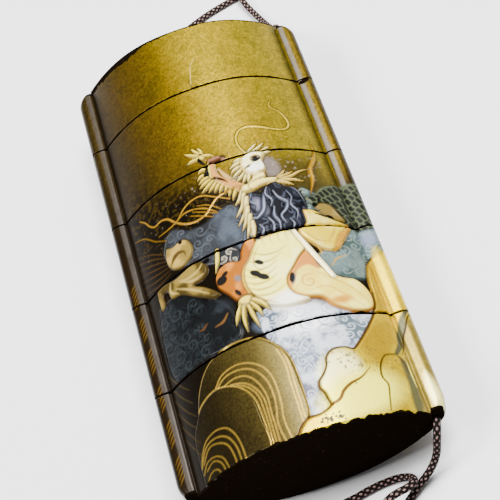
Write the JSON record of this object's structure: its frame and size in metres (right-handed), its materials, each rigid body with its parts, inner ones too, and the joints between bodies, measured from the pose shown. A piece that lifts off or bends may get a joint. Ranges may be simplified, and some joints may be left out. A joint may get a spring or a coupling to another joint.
{
  "type": "inro case",
  "caption": "Flat lens-section lacquered box of nesting cases under a lift-off lid, strung on a silk cord through its side runners, lying on its back.",
  "frame": {"origin": "on the surface that the back rests on, below the middle of the box without its free cord", "axes": "+Y along the stack towards the lid, +Z out of the decorated front, +X to the right seen from the front"},
  "size_m": [0.0555, 0.166, 0.0236],
  "materials": {
    "gold_lacquer": "polished lacquer with sprinkled gold flakes",
    "picture_lacquer": "polished lacquer with a raised and coloured picture",
    "silk_cord": "braided silk, dark with pale flecks"
  },
  "bodies": {
    "root": {"lid": "gold_lacquer", "case_1": "gold_lacquer", "case_2": "picture_lacquer", "case_3": "picture_lacquer", "case_4": "picture_lacquer", "cord_in_left_runner": "silk_cord", "cord_in_right_runner": "silk_cord", "cord_top_left": "silk_cord", "cord_top_right": "silk_cord", "cord_coil": "silk_cord", "cord_bottom_left": "silk_cord", "cord_bottom_right": "silk_cord", "bow_loop_near": "silk_cord", "bow_loop_far": "silk_cord", "bow_tail_left": "silk_cord", "bow_tail_right": "silk_cord", "bow_knot": "silk_cord", "tail_knot_left": "silk_cord", "tail_knot_right": "silk_cord"}
  },
  "joints": []
}
